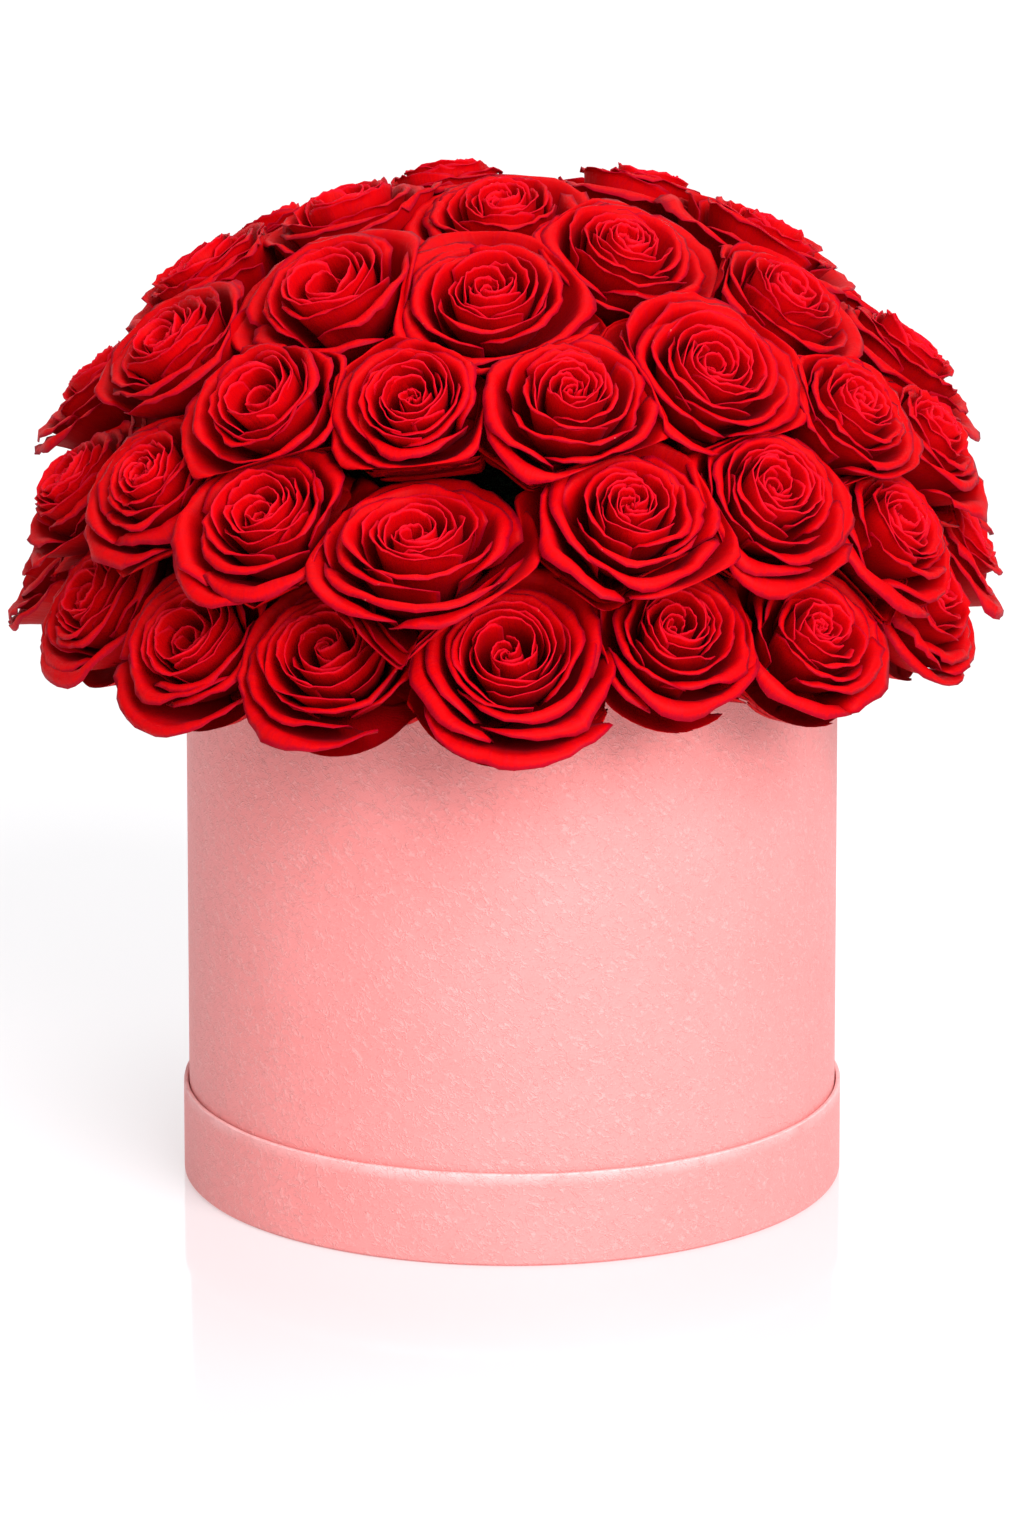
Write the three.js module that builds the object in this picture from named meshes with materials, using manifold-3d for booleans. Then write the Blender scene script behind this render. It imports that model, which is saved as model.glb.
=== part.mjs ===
// A round hat box of roses that stands in its own lid. Lengths are in millimetres, angles in degrees, +Z is up.
// The origin is the middle of the underside, on the table. Turn 0 faces -Y and grows towards +X.
import * as THREE from 'three'
import { mergeVertices } from 'three/addons/utils/BufferGeometryUtils.js'
import Module from 'manifold-3d'

const wasm = await Module()
wasm.setup()

// Box and lid
const boxRadius = 123 // outside of the box, over its paper
const rimHeight = 218 // top of the box rim above the table
const trayHeight = 36 // top of the lid's wall above the table
const boxCard = 1.8 // wall of the box tube
const trayCard = 0.9 // wall of the lid
const discCard = 1.8 // both card discs
const paper = 0.3 // leatherette paper
const boxFold = 15 // how far the box's paper runs down inside the rim
const trayFold = 12 // how far the lid's paper runs down inside its wall
const underFold = 14 // how far the box's paper runs in under the base
const glue = 0.1 // between glued layers
const slideGap = 0.4 // between the box and the lid around it
const standGap = 0.3 // under a piece that rests on another

// What fills the box
const insertGap = 0.8 // between the box's folded paper and the liner or the riser
const riserTop = 150 // top of the dry riser block
const film = 0.4 // liner bowl
const linerBelowRim = 12 // the liner's edge below the rim
const foamGap = 0.7 // between the liner and the foam
const crownInset = 5.5 // the foam above the rim, in from the foam in the liner
const crownWall = 16 // upright part of the foam above the rim
const crownRise = 84 // rounded top of the foam above that

// Dome of roses, set by the middles of the open blooms
const domeOverhang = 47 // widest circle of bloom middles, out from the box
const domeAboveRim = 25 // height of that circle above the rim
const domeRise = 135 // crown bloom above that circle
const domeFullness = 2.3 // 2 is an ellipsoid, more has fuller shoulders

// One rose
const bloomDepth = 32 // from the calyx to the middle of the open bloom
const bloomCrest = 9 // petal tips above the middle
const calyxRadius = 6
const stemRadius = 3
const stemLength = 66
const stemPlay = 0.8 // hole in the foam around a stem, more than the difference between its facets and flats
const petalGap = 0.4 // between pressed neighbours
const rimTilt = 30 // how far a bloom at the rim looks up
const tiltPerRise = 0.65 // extra tilt for each degree up the dome
const rimStemTilt = 1 // stems at the rim lie almost level across it

// Where the florist set each bloom: turn around the dome, rise up the dome, bloom radius
const rows = [
  {
    name: 'rim',
    level: true,
    places: [
      [-67, 0, 32], [-44, 0, 34], [-23, 1, 37], [0, 2, 38], [21, 4, 32], [41, 1, 32], [67, 0, 30], [89, 3, 33],
      [150, 1, 33], [172, 1, 34], [-166, 1, 34], [-142, 1, 34], [-118, 1, 35], [-94, 0, 33]
    ]
  },
  {
    name: 'lower',
    level: false,
    places: [
      [-79, 12, 31], [-56, 18, 30], [-34, 17, 34], [-12, 16, 42], [16, 19, 36], [37, 19, 33], [59, 11, 30],
      [78, 19, 31], [109, 7, 36], [129, 7, 35], [153, 21, 35], [180, 20, 34], [-153, 19, 35], [-128, 20, 34],
      [-102, 20, 33]
    ]
  },
  {
    name: 'upper',
    level: false,
    places: [
      [-71, 34, 34], [-41, 31, 32], [-16, 34, 30], [9, 35, 36], [35, 37, 36], [58, 27, 30], [97, 26, 36],
      [127, 28, 37], [163, 42, 34], [-165, 40, 34], [-133, 42, 35], [-97, 42, 34]
    ]
  },
  {
    name: 'inner',
    level: false,
    places: [
      [-44, 51, 36], [-6, 54, 38], [41, 63, 35], [66, 44, 31], [103, 50, 38], [140, 58, 36], [-157, 63, 34],
      [-98, 64, 34]
    ]
  },
  { name: 'crown', level: false, places: [[-16, 84, 37]] }
]

// Facets
const roundSteps = 48
const bloomSteps = 8
const stemSides = 6
const bendSteps = 3
const cutterSize = 400

// Sizes worked out from those above
const trayRadius = boxRadius + slideGap + paper + glue + trayCard + glue + paper
const trayCardRadius = trayRadius - paper - glue
const trayFloorTop = paper + glue + discCard
const boxBottom = trayFloorTop + standGap
const tubeBottom = boxBottom + paper + glue
const tubeRadius = boxRadius - paper - glue
const tubeBore = tubeRadius - boxCard
const foldBore = tubeBore - glue - paper
const linerRadius = foldBore - insertGap
const linerTop = rimHeight - linerBelowRim
const foamRadius = linerRadius - film - foamGap
const foamBottom = riserTop + standGap + film + standGap
const crownRadius = foamRadius - crownInset
const domeRadius = boxRadius + domeOverhang
const domeBase = rimHeight + domeAboveRim

const colours = {
  leatherette: 0xf4a3a0,
  card: 0xb9a58c,
  riser: 0xf2f2ee,
  film: 0xd7dde0,
  foam: 0x3f6b3a,
  rose: 0xb30010
}

function material(colour, roughness) {
  return new THREE.MeshStandardMaterial({ color: colour, roughness: roughness, metalness: 0 })
}

// A closed outline of [radius, height] pairs, drawn anticlockwise, turned about the upright axis
function turned(outline, steps) {
  const points = outline.map(([radius, height]) => new THREE.Vector2(radius, height))
  const geometry = new THREE.LatheGeometry(points, steps)
  geometry.rotateX(Math.PI / 2)
  return geometry
}

function closed(outline) {
  return [...outline, outline[0]]
}

function solidOf(geometry) {
  const bare = geometry.clone()
  bare.deleteAttribute('normal')
  bare.deleteAttribute('uv')
  const merged = mergeVertices(bare.index ? bare.toNonIndexed() : bare, 1e-4)
  const mesh = new wasm.Mesh({
    numProp: 3,
    vertProperties: new Float32Array(merged.attributes.position.array),
    triVerts: new Uint32Array(merged.index.array)
  })
  return new wasm.Manifold(mesh)
}

function geometryOf(solid) {
  const mesh = solid.getMesh()
  const geometry = new THREE.BufferGeometry()
  geometry.setAttribute('position', new THREE.BufferAttribute(new Float32Array(mesh.vertProperties), 3))
  geometry.setIndex(new THREE.BufferAttribute(new Uint32Array(mesh.triVerts), 1))
  geometry.computeVertexNormals()
  return geometry
}

function piece(name, geometry, colour, roughness) {
  const mesh = new THREE.Mesh(geometry, material(colour, roughness))
  mesh.name = name
  return mesh
}

// A skin of paper up the outside of a card wall, over its top edge and down inside it
function foldedPaper(outer, card, bottom, top, fold, under) {
  const inner = outer - paper - glue - card - glue - paper
  const inFace = inner + paper
  const outFace = outer - paper
  const foot = bottom + (under > 0 ? paper : 0)
  const outline = [[outer, bottom], [outer, top], [inner, top], [inner, top - fold]]
  outline.push([inFace, top - fold], [inFace, top - paper], [outFace, top - paper], [outFace, foot])
  if (under > 0) {
    outline.push([outFace - under, foot], [outFace - under, bottom])
  }
  return turned(closed(outline), roundSteps)
}

function ring(outer, inner, bottom, top) {
  return turned(closed([[inner, bottom], [outer, bottom], [outer, top], [inner, top]]), roundSteps)
}

function disc(radius, bottom, top) {
  return turned([[0, bottom], [radius, bottom], [radius, top], [0, top]], roundSteps)
}

function tray() {
  const group = new THREE.Group()
  const cardTop = trayHeight - paper - glue
  const cardBottom = paper + glue
  const floorRadius = trayCardRadius - trayCard - glue
  const face = disc(trayRadius, 0, paper)
  const wall = ring(trayCardRadius, trayCardRadius - trayCard, cardBottom, cardTop)
  const cover = foldedPaper(trayRadius, trayCard, cardBottom, trayHeight, trayFold, 0)
  group.add(piece('tray_face_paper', face, colours.leatherette, 0.55))
  group.add(piece('tray_floor', disc(floorRadius, cardBottom, trayFloorTop), colours.card, 0.9))
  group.add(piece('tray_wall', wall, colours.card, 0.9))
  group.add(piece('tray_rim_paper', cover, colours.leatherette, 0.55))
  return group
}

function box() {
  const group = new THREE.Group()
  const tube = ring(tubeRadius, tubeBore, tubeBottom, rimHeight - paper - glue)
  const floor = disc(tubeBore - glue, tubeBottom, tubeBottom + discCard)
  const cover = foldedPaper(boxRadius, boxCard, boxBottom, rimHeight, boxFold, underFold)
  const riser = disc(linerRadius, tubeBottom + discCard + standGap, riserTop)
  group.add(piece('box_floor', floor, colours.card, 0.9))
  group.add(piece('box_tube', tube, colours.card, 0.9))
  group.add(piece('box_cover_paper', cover, colours.leatherette, 0.55))
  group.add(piece('riser_block', riser, colours.riser, 0.85))
  return group
}

function liner() {
  const bottom = riserTop + standGap
  const inner = linerRadius - film
  const outline = [[0, bottom], [linerRadius, bottom], [linerRadius, linerTop], [inner, linerTop]]
  outline.push([inner, bottom + film], [0, bottom + film])
  return piece('foam_liner', turned(outline, roundSteps), colours.film, 0.3)
}

// The wet foam: a round block in the liner, then a narrower rounded crown above the rim, with a hole for each stem
function foam(roses) {
  const shoulder = rimHeight - crownInset
  const springLine = rimHeight + crownWall
  const outline = [[0, foamBottom], [foamRadius, foamBottom], [foamRadius, linerTop], [crownRadius, shoulder]]
  const domeSteps = 7
  for (let i = 0; i < domeSteps; i++) {
    const angle = (i / domeSteps) * Math.PI / 2
    outline.push([crownRadius * Math.cos(angle), springLine + crownRise * Math.sin(angle)])
  }
  outline.push([0, springLine + crownRise])
  let solid = solidOf(turned(outline, roundSteps))
  for (const rose of roses) {
    const hole = stemTube(rose, stemRadius + stemPlay, stemLength + stemPlay)
    hole.applyMatrix4(rose.matrix)
    solid = solid.subtract(solidOf(hole))
  }
  return piece('foam_block', geometryOf(solid), colours.foam, 0.95)
}

// The middle of an open bloom on the dome, in [radius, height]
function domePoint(rise) {
  const angle = THREE.MathUtils.degToRad(rise)
  const across = Math.abs(Math.cos(angle)) / domeRadius
  const upward = Math.abs(Math.sin(angle)) / domeRise
  const reach = Math.pow(Math.pow(across, domeFullness) + Math.pow(upward, domeFullness), -1 / domeFullness)
  return [reach * Math.cos(angle), domeBase + reach * Math.sin(angle)]
}

// A direction that looks out at a turn and up at a tilt
function outward(turn, tilt) {
  const around = THREE.MathUtils.degToRad(turn)
  const up = THREE.MathUtils.degToRad(tilt)
  return new THREE.Vector3(Math.cos(up) * Math.sin(around), -Math.cos(up) * Math.cos(around), Math.sin(up))
}

// Each rose has its calyx at its own origin and its bloom along its own +Z
function placeRose(row, index) {
  const [turn, rise, radius] = row.places[index]
  const [reach, height] = domePoint(rise)
  const tilt = rimTilt + tiltPerRise * Math.max(rise, 0)
  const axis = outward(turn, tilt)
  const middle = outward(turn, 0).multiplyScalar(reach)
  middle.z = height
  const calyx = middle.clone().addScaledVector(axis, -bloomDepth)
  const quaternion = new THREE.Quaternion().setFromUnitVectors(new THREE.Vector3(0, 0, 1), axis)
  const matrix = new THREE.Matrix4().compose(calyx, quaternion, new THREE.Vector3(1, 1, 1))
  const number = String(index + 1).padStart(2, '0')
  const name = row.places.length > 1 ? `rose_${row.name}_${number}` : `rose_${row.name}`
  const stemTilt = row.level ? rimStemTilt : tilt
  return { name, radius, middle, calyx, quaternion, matrix, stemAxis: outward(turn, stemTilt), bent: row.level }
}

// A stem from inside the calyx to its cut end, bent at the neck where it crosses the rim
function stemTube(rose, radius, length) {
  const toLocal = rose.matrix.clone().invert()
  const start = new THREE.Vector3(0, 0, calyxRadius)
  const neck = new THREE.Vector3(0, 0, 0)
  const end = rose.calyx.clone().addScaledVector(rose.stemAxis, -length).applyMatrix4(toLocal)
  const path = rose.bent ? new THREE.QuadraticBezierCurve3(start, neck, end) : new THREE.LineCurve3(start, end)
  const corners = []
  for (let i = 0; i < stemSides; i++) {
    const angle = (i / stemSides) * Math.PI * 2
    corners.push(new THREE.Vector2(radius * Math.cos(angle), radius * Math.sin(angle)))
  }
  const section = new THREE.Shape(corners)
  const steps = rose.bent ? bendSteps : 1
  return new THREE.ExtrudeGeometry(section, { extrudePath: path, steps: steps, bevelEnabled: false })
}

// The outer shape of an open bloom, from the calyx up to the petal tips
function bloomShape(radius) {
  const outline = [
    [0, 0],
    [calyxRadius, 0],
    [0.72 * radius, 0.4 * bloomDepth],
    [radius, bloomDepth],
    [0.6 * radius, bloomDepth + bloomCrest],
    [0, bloomDepth + bloomCrest]
  ]
  return turned(outline, bloomSteps)
}

// The part of a bloom on the far side of a flat cut, taken off where its neighbour presses against it
function pressCutter(rose, other) {
  const away = other.middle.clone().sub(rose.middle)
  const share = rose.radius / (rose.radius + other.radius)
  const distance = away.length() * share - petalGap / 2
  away.normalize()
  const cutter = new THREE.BoxGeometry(cutterSize, cutterSize, cutterSize)
  cutter.translate(0, 0, cutterSize / 2 + distance)
  cutter.applyQuaternion(new THREE.Quaternion().setFromUnitVectors(new THREE.Vector3(0, 0, 1), away))
  cutter.translate(rose.middle.x, rose.middle.y, rose.middle.z)
  cutter.applyMatrix4(rose.matrix.clone().invert())
  return solidOf(cutter)
}

function roseMesh(rose, roses) {
  let bloom = solidOf(bloomShape(rose.radius))
  for (const other of roses) {
    const near = rose.middle.distanceTo(other.middle) < rose.radius + other.radius + petalGap + 2 * bloomCrest
    if (other !== rose && near) {
      bloom = bloom.subtract(pressCutter(rose, other))
    }
  }
  const whole = bloom.add(solidOf(stemTube(rose, stemRadius, stemLength)))
  const mesh = piece(rose.name, geometryOf(whole), colours.rose, 0.6)
  mesh.position.copy(rose.calyx)
  mesh.quaternion.copy(rose.quaternion)
  return mesh
}

function arrangement() {
  const group = new THREE.Group()
  const roses = rows.flatMap((row) => row.places.map((place, index) => placeRose(row, index)))
  group.add(liner())
  group.add(foam(roses))
  for (const rose of roses) {
    group.add(roseMesh(rose, roses))
  }
  return group
}

const group = new THREE.Group()
group.add(tray())
group.add(box())
group.add(arrangement())

export default group
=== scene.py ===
import math

import bpy
import numpy as np
from mathutils import Matrix, Vector


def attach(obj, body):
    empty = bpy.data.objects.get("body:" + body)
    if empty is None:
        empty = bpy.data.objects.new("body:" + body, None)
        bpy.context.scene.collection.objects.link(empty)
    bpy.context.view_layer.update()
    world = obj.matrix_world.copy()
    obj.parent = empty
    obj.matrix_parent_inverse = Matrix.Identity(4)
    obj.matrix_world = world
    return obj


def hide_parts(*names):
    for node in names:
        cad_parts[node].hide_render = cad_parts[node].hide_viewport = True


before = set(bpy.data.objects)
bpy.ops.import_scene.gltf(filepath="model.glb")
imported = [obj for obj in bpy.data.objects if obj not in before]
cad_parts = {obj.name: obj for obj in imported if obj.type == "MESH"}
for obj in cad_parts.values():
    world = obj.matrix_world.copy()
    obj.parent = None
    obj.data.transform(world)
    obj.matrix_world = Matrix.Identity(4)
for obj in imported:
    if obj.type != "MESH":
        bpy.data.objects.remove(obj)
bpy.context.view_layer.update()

mm = 0.001


def placed(name, data):
    made = bpy.data.objects.new(name, data)
    bpy.context.scene.collection.objects.link(made)
    return made


# A number that runs through a node tree, so that a rule for a shape or a colour can be written as a formula
class Wire:
    def __init__(self, tree, socket):
        self.tree = tree
        self.socket = socket


# Sums, products and powers, with a wire on either side of the sign
for sign, operation in (("add", "ADD"), ("sub", "SUBTRACT"), ("mul", "MULTIPLY"), ("truediv", "DIVIDE"),
                        ("pow", "POWER")):
    setattr(Wire, f"__{sign}__", lambda wire, other, named=operation: calc(named, wire, other))
    setattr(Wire, f"__r{sign}__", lambda wire, other, named=operation: calc(named, other, wire))


def plug(tree, value, socket):
    if isinstance(value, Wire):
        tree.links.new(value.socket, socket)
    else:
        socket.default_value = value


def calc(operation, *values):
    tree = next(value.tree for value in values if isinstance(value, Wire))
    node = tree.nodes.new("ShaderNodeMath")
    node.operation = operation
    for value, socket in zip(values, node.inputs):
        plug(tree, value, socket)
    return Wire(tree, node.outputs[0])


# A new node with its first socket fed
def fedNode(tree, kind, source):
    node = tree.nodes.new(kind)
    tree.links.new(source, node.inputs[0])
    return node


def between(low, high, share):
    return low + (high - low) * share


# 0 below low, 1 above high and a smooth rise between them
def riseOf(value, low, high):
    node = value.tree.nodes.new("ShaderNodeMapRange")
    node.interpolation_type = "SMOOTHSTEP"
    plug(value.tree, value, node.inputs["Value"])
    plug(value.tree, low, node.inputs["From Min"])
    plug(value.tree, high, node.inputs["From Max"])
    return Wire(value.tree, node.outputs["Result"])


def joined(tree, x, y, z):
    node = tree.nodes.new("ShaderNodeCombineXYZ")
    for value, socket in zip((x, y, z), node.inputs):
        plug(tree, value, socket)
    return node.outputs[0]


def noiseOn(tree, vector, scale, detail=2.0, roughness=0.5):
    node = fedNode(tree, "ShaderNodeTexNoise", vector)
    node.inputs["Scale"].default_value = scale
    node.inputs["Detail"].default_value = detail
    node.inputs["Roughness"].default_value = roughness
    return Wire(tree, node.outputs[0])


def mixed(share, low, high):
    tree = share.tree
    node = tree.nodes.new("ShaderNodeMix")
    node.data_type = "RGBA"
    plug(tree, share, node.inputs[0])
    colours = [socket for socket in node.inputs if socket.type == "RGBA"]
    for value, socket in zip((low, high), colours):
        plug(tree, value if isinstance(value, Wire) else (*value, 1.0), socket)
    return Wire(tree, next(socket for socket in node.outputs if socket.type == "RGBA"))


def newMaterial(name, roughness, specular=0.5):
    material = bpy.data.materials.new(name)
    material.use_nodes = True
    tree = material.node_tree
    shader = next(node for node in tree.nodes if node.type == "BSDF_PRINCIPLED")
    shader.inputs["Roughness"].default_value = roughness
    shader.inputs["Specular IOR Level"].default_value = specular
    return material, tree, shader


def bumpInto(tree, shader, height, distance, strength):
    node = tree.nodes.new("ShaderNodeBump")
    node.inputs["Strength"].default_value = strength
    node.inputs["Distance"].default_value = distance
    plug(tree, height, node.inputs["Height"])
    tree.links.new(node.outputs[0], shader.inputs["Normal"])


def readNumber(tree, name):
    node = tree.nodes.new("ShaderNodeAttribute")
    node.attribute_name = name
    return Wire(tree, node.outputs["Fac"])


def objectPoint(tree):
    return tree.nodes.new("ShaderNodeTexCoord").outputs["Object"]


def mapped(tree, vector, stretch, turn):
    node = fedNode(tree, "ShaderNodeMapping", vector)
    node.vector_type = "TEXTURE"  # turns first and stretches after, so the stretch follows the turn
    node.inputs["Scale"].default_value = (stretch, 1, 1)
    node.inputs["Rotation"].default_value = (0, 0, turn)
    return node.outputs[0]


def newGroup(name, inputs, outputs):
    group = bpy.data.node_groups.new(name, "ShaderNodeTree")
    for label, value in inputs.items():
        kind = "NodeSocketVector" if value is None else "NodeSocketFloat"
        socket = group.interface.new_socket(label, in_out="INPUT", socket_type=kind)
        if value is not None:
            socket.default_value = value
    for label in outputs:
        group.interface.new_socket(label, in_out="OUTPUT", socket_type="NodeSocketFloat")
    return group, group.nodes.new("NodeGroupInput"), group.nodes.new("NodeGroupOutput")


def useGroup(tree, group, vector, values):
    node = tree.nodes.new("ShaderNodeGroup")
    node.node_tree = group
    tree.links.new(vector, node.inputs[0])
    for label, value in values.items():
        node.inputs[label].default_value = value
    return {socket.name: Wire(tree, socket) for socket in node.outputs}


# Lines where a noise passes its middle value, broken up by a second noise: creases, fibres and veins
def brokenLinesGroup():
    inputs = {"Vector": None, "Scale": 100.0, "Thinness": 30.0, "Warp": 0.6, "Cover": 0.5}
    group, entry, leave = newGroup("brokenLines", inputs, ["Line", "Broad"])
    vector = entry.outputs["Vector"]
    size = {name: Wire(group, entry.outputs[name]) for name in inputs if name != "Vector"}
    main = noiseOn(group, vector, 1.0, 2.5, 0.55)
    plug(group, size["Scale"], main.socket.node.inputs["Scale"])
    plug(group, size["Warp"], main.socket.node.inputs["Distortion"])
    away = calc("ABSOLUTE", main - 0.5)
    line = calc("MAXIMUM", 1.0 - away * size["Thinness"], 0.0)
    broad = calc("MAXIMUM", 1.0 - away * size["Thinness"] * 0.3, 0.0)
    patch = noiseOn(group, vector, 1.0, 1.0, 0.5)
    plug(group, size["Scale"] * 0.55, patch.socket.node.inputs["Scale"])
    shown = riseOf(patch, 0.5 + (0.5 - size["Cover"]) * 0.5, 0.6 + (0.5 - size["Cover"]) * 0.5)
    plug(group, line * shown, leave.inputs["Line"])
    plug(group, broad * shown, leave.inputs["Broad"])
    return group


# Blotches, cloud and fine grain that any of the matt materials can take
def mottleGroup():
    inputs = {"Vector": None, "Cloud scale": 30.0, "Blotch scale": 140.0, "Grain scale": 1600.0}
    group, entry, leave = newGroup("mottle", inputs, ["Cloud", "Blotch", "Grain"])
    for label, scale, detail in (("Cloud", "Cloud scale", 3.0), ("Blotch", "Blotch scale", 3.0),
                                 ("Grain", "Grain scale", 2.0)):
        wire = noiseOn(group, entry.outputs["Vector"], 1.0, detail, 0.6)
        group.links.new(entry.outputs[scale], wire.socket.node.inputs["Scale"])
        plug(group, wire, leave.inputs[label])
    return group


brokenLines = brokenLinesGroup()
mottle = mottleGroup()


def tonesOn(tree, vector, cloud, blotch, grain):
    return useGroup(tree, mottle, vector, {"Cloud scale": cloud, "Blotch scale": blotch, "Grain scale": grain})


def linesOn(tree, vector, scale, thinness, warp, cover):
    values = {"Scale": scale, "Thinness": thinness, "Warp": warp, "Cover": cover}
    return useGroup(tree, brokenLines, vector, values)


leatherette = {
    "shade": (0.80, 0.230, 0.220), "base": (0.87, 0.280, 0.274), "raised": (0.93, 0.40, 0.39),
    # The edge colour is a painted highlight along the folded top edge
    "edge": (0.96, 0.52, 0.52),
    "creaseTurn": -0.7, "crossTurn": 0.5, "creaseStretch": 1.9, "creaseScale": 430.0, "crossScale": 430.0 * 2.3,
    "fibreStretch": 2.2, "fibreTurn": -0.9, "fibreScale": 2200.0, "grainDepth": 0.00024, "sheen": 0.08,
}


# Dusty pink paper with a soft leather print: fine broken creases, a fibrous grain, a blotchy tint and a painted
# highlight along the folded top edge
def pinkLeatherette():
    material, tree, shader = newMaterial("pinkLeatherette", 0.5, 0.5)
    paint = leatherette
    sheetUv = tree.nodes.new("ShaderNodeUVMap")
    sheetUv.uv_map = "sheetUv"
    flat = sheetUv.outputs["UV"]
    tones = tonesOn(tree, flat, 14.0, 120.0, 1900.0)
    creased = mapped(tree, flat, paint["creaseStretch"], paint["creaseTurn"])
    crossed = mapped(tree, flat, paint["creaseStretch"], paint["crossTurn"])
    long = linesOn(tree, creased, paint["creaseScale"], 20.0, 0.5, 0.66)
    short = linesOn(tree, crossed, paint["crossScale"], 14.0, 0.4, 0.55)
    fibred = mapped(tree, flat, paint["fibreStretch"], paint["fibreTurn"])
    fibre = noiseOn(tree, fibred, paint["fibreScale"], 2.0, 0.6)
    tint = calc("MINIMUM", calc("MAXIMUM", tones["Cloud"] * 1.3 + tones["Blotch"] * 0.6 - 0.45, 0.0), 1.0)
    colour = mixed(tint, paint["shade"], paint["base"])
    # Painted highlight: the paper turns paler in the band round the top edge
    colour = mixed(readNumber(tree, "fold") * 0.85, colour, paint["edge"])
    crease = calc("MINIMUM", long["Line"] * 0.56 + short["Line"] * 0.32 + (fibre - 0.5) * 0.25, 1.0)
    colour = mixed(calc("MAXIMUM", crease, 0.0), colour, paint["raised"])
    plug(tree, colour, shader.inputs["Base Color"])
    plug(tree, 0.46 + tones["Grain"] * 0.16 - long["Line"] * 0.06, shader.inputs["Roughness"])
    height = long["Line"] * 0.75 + short["Line"] * 0.5 + tones["Grain"] * 0.5 + fibre * 0.25
    bumpInto(tree, shader, height + tones["Blotch"] * 0.5, paint["grainDepth"], 0.9)
    shader.inputs["Sheen Weight"].default_value = paint["sheen"]
    return material


# Matt surface of two blotchy tones, crossed by fine lines of a third
def linedSurface(name, roughness, specular, paint):
    material, tree, shader = newMaterial(name, roughness, specular)
    point = objectPoint(tree)
    tones = tonesOn(tree, point, *paint["tones"])
    lines = linesOn(tree, point, *paint["lines"])
    colour = mixed(tones["Blotch"], paint["dark"], paint["light"])
    colour = mixed(lines["Line"] * paint["lineShare"], colour, paint["line"])
    plug(tree, colour, shader.inputs["Base Color"])
    raised, amount = paint["raised"]
    bumpInto(tree, shader, tones["Grain"] + lines[raised] * amount, paint["depth"], 0.7)
    return material


# Grey card with short pale fibres
cardPaint = {
    "dark": (0.25, 0.235, 0.21), "light": (0.38, 0.36, 0.325), "line": (0.55, 0.53, 0.49), "lineShare": 0.6,
    "tones": (25.0, 300.0, 2200.0), "lines": (420.0, 40.0, 1.2, 0.4), "raised": ("Line", 0.6), "depth": 0.00012,
}
# Cut rose stalk, calyx and sepals: waxy green with pale streaks
stalkPaint = {
    "dark": (0.012, 0.040, 0.010), "light": (0.030, 0.080, 0.018), "line": (0.06, 0.11, 0.035), "lineShare": 0.5,
    "tones": (60.0, 350.0, 1800.0), "lines": (300.0, 18.0, 0.4, 0.6), "raised": ("Broad", 1.0),
    "depth": 0.00015,
}


def cellsOn(tree, point, scale):
    cells = fedNode(tree, "ShaderNodeTexVoronoi", point)
    cells.inputs["Scale"].default_value = scale
    return Wire(tree, cells.outputs["Distance"])


# The cell colour lightens the cell walls, so that the cell hollows keep a painted shade
foamPaint = {"wet": (0.005, 0.016, 0.006), "damp": (0.012, 0.036, 0.012), "cell": (0.020, 0.055, 0.020),
             "cellScale": 1100.0, "cellDepth": 0.0005}


# Soaked green floral foam: open fine cells with painted shade in their hollows, and darker wet patches
def wetFoam():
    material, tree, shader = newMaterial("wetFoam", 0.7, 0.4)
    point = objectPoint(tree)
    tones = tonesOn(tree, point, 18.0, 220.0, 1500.0)
    hollow = cellsOn(tree, point, foamPaint["cellScale"])
    colour = mixed(tones["Cloud"], foamPaint["wet"], foamPaint["damp"])
    # Painted shade: the cell hollows keep the darker colour and the walls take the lighter cell colour
    colour = mixed(hollow * 0.7, colour, foamPaint["cell"])
    plug(tree, colour, shader.inputs["Base Color"])
    plug(tree, 0.5 + tones["Cloud"] * 0.4, shader.inputs["Roughness"])
    bumpInto(tree, shader, hollow + tones["Blotch"] * 0.8, foamPaint["cellDepth"], 0.9)
    return material


# The gap colour is painted shade between the beads
beadPaint = {"bead": (0.78, 0.78, 0.76), "gap": (0.52, 0.52, 0.51), "beadScale": 260.0, "beadDepth": 0.0008}


# Expanded white beads pressed into a block, with painted shade in the gaps between them
def beadFoam():
    material, tree, shader = newMaterial("beadFoam", 0.6, 0.4)
    point = objectPoint(tree)
    dip = cellsOn(tree, point, beadPaint["beadScale"])
    tones = tonesOn(tree, point, 20.0, 200.0, 900.0)
    # Painted shade: the gaps between the beads take the darker gap colour
    plug(tree, mixed(riseOf(dip, 0.35, 0.75), beadPaint["bead"], beadPaint["gap"]), shader.inputs["Base Color"])
    plug(tree, 0.45 + tones["Blotch"] * 0.3, shader.inputs["Roughness"])
    bumpInto(tree, shader, 1.0 - dip, beadPaint["beadDepth"], 0.9)
    return material


filmPaint = {"hazy": (0.72, 0.76, 0.74), "clear": (0.86, 0.88, 0.87), "cover": 0.26, "foldDepth": 0.0006}


# Thin clear film with fine scratches and a slight haze
def clearFilm():
    material, tree, shader = newMaterial("clearFilm", 0.18, 0.5)
    point = objectPoint(tree)
    tones = tonesOn(tree, point, 40.0, 160.0, 700.0)
    folds = linesOn(tree, point, 60.0, 30.0, 0.5, 0.55)
    plug(tree, mixed(tones["Cloud"], filmPaint["hazy"], filmPaint["clear"]), shader.inputs["Base Color"])
    plug(tree, 0.12 + tones["Grain"] * 0.22, shader.inputs["Roughness"])
    plug(tree, filmPaint["cover"] + folds["Line"] * 0.4 + tones["Cloud"] * 0.12, shader.inputs["Alpha"])
    bumpInto(tree, shader, folds["Broad"] + tones["Blotch"] * 0.4, filmPaint["foldDepth"], 0.7)
    return material


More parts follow.
